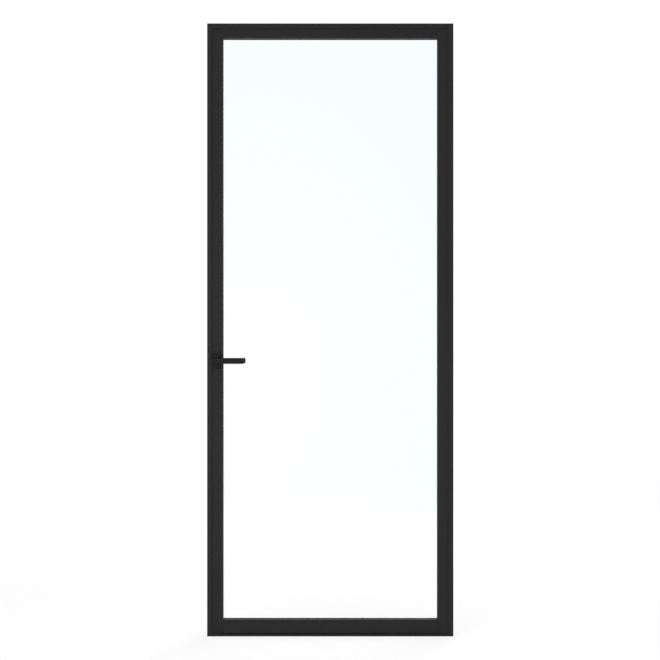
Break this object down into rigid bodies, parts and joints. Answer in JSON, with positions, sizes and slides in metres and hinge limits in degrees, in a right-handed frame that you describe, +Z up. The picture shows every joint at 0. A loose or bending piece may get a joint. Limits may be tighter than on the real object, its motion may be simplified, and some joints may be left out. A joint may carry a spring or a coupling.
{
  "type": "glass door with frame",
  "caption": "Tall clear glass door in a slim black metal frame, with a lever handle on each side, a spring latch and butt hinges.",
  "frame": {"origin": "middle of the frame's underside, level with the leaf's middle plane", "axes": "+X to the hinge side, +Y away from the viewer towards the opening side, +Z up"},
  "size_m": [0.93, 0.134, 2.315],
  "materials": {
    "frame_coating": "matt black powder coat on aluminium",
    "leaf_coating": "matt black powder coat on aluminium",
    "bead_coating": "matt black powder coat on aluminium",
    "pane_glass": "clear toughened glass, polished",
    "seal_rubber": "black rubber",
    "lever_coating": "smooth matt black",
    "hinge_coating": "matt black",
    "black_screw": "blackened steel",
    "plated_steel": "zinc plated",
    "dark_plate": "matt black",
    "latch_metal": "satin nickel",
    "cleat_aluminium": "mill finish",
    "black_plastic": "moulded"
  },
  "bodies": {
    "frame": {"jamb_lock": "frame_coating", "jamb_hinge": "frame_coating", "head": "frame_coating", "sill": "frame_coating", "frame_corner_cleats": "cleat_aluminium", "frame_corner_screws": "plated_steel", "seal_lock": "seal_rubber", "seal_hinge": "seal_rubber", "seal_head": "seal_rubber", "strike_plate": "dark_plate", "strike_box": "black_plastic", "strike_screws": "black_screw", "hinge_bottom_frame_plate": "hinge_coating", "hinge_middle_frame_plate": "hinge_coating", "hinge_top_frame_plate": "hinge_coating", "hinge_pins": "hinge_coating", "hinge_washers": "plated_steel", "frame_hinge_screws": "black_screw", "frame_backing_plates": "plated_steel"},
    "leaf": {"stile_lock": "leaf_coating", "stile_hinge": "leaf_coating", "rail_top": "leaf_coating", "rail_bottom": "leaf_coating", "rail_connectors": "cleat_aluminium", "rail_screws": "plated_steel", "stile_end_caps": "black_plastic", "bottom_seal": "seal_rubber", "glass_pane": "pane_glass", "setting_blocks": "black_plastic", "front_gasket": "seal_rubber", "rear_gasket": "seal_rubber", "bead_lock": "bead_coating", "bead_hinge": "bead_coating", "bead_top": "bead_coating", "bead_bottom": "bead_coating", "lock_case": "plated_steel", "lock_cover": "plated_steel", "lock_faceplate": "dark_plate", "lock_screws": "black_screw", "latch_spring": "plated_steel", "hinge_bottom_leaf_plate": "hinge_coating", "hinge_middle_leaf_plate": "hinge_coating", "hinge_top_leaf_plate": "hinge_coating", "leaf_hinge_screws": "black_screw", "leaf_backing_plates": "plated_steel", "rose_front": "lever_coating", "rose_back": "lever_coating", "rose_bases": "black_plastic", "rose_screws": "plated_steel", "lever_bushes": "black_plastic"},
    "handle": {"lever_front": "lever_coating", "lever_back": "lever_coating", "spindle": "plated_steel", "grub_screws": "black_screw", "follower": "plated_steel"},
    "latch": {"latch_bolt": "latch_metal"}
  },
  "joints": [
    {"name": "door_swing", "type": "hinge", "parent": "frame", "child": "leaf", "pos_m": [0.4535, 0.0265, 1.1575], "axis": [0, 0, -1], "range_deg": [0, 110]},
    {"name": "lever_turn", "type": "hinge", "parent": "leaf", "child": "handle", "pos_m": [-0.43, 0, 1.04], "axis": [0, 1, 0], "range_deg": [0, 45], "stiffness_Nm_per_rad": 1.2, "springref_deg": -28.65},
    {"name": "latch_slide", "type": "slide", "parent": "leaf", "child": "latch", "axis": [1, 0, 0], "range_m": [0, 0.0105], "deforming": ["latch_spring"]}
  ],
  "couplings": [
    {"joint": "latch_slide", "follows": "lever_turn", "m_per_rad": 0.013242}
  ]
}
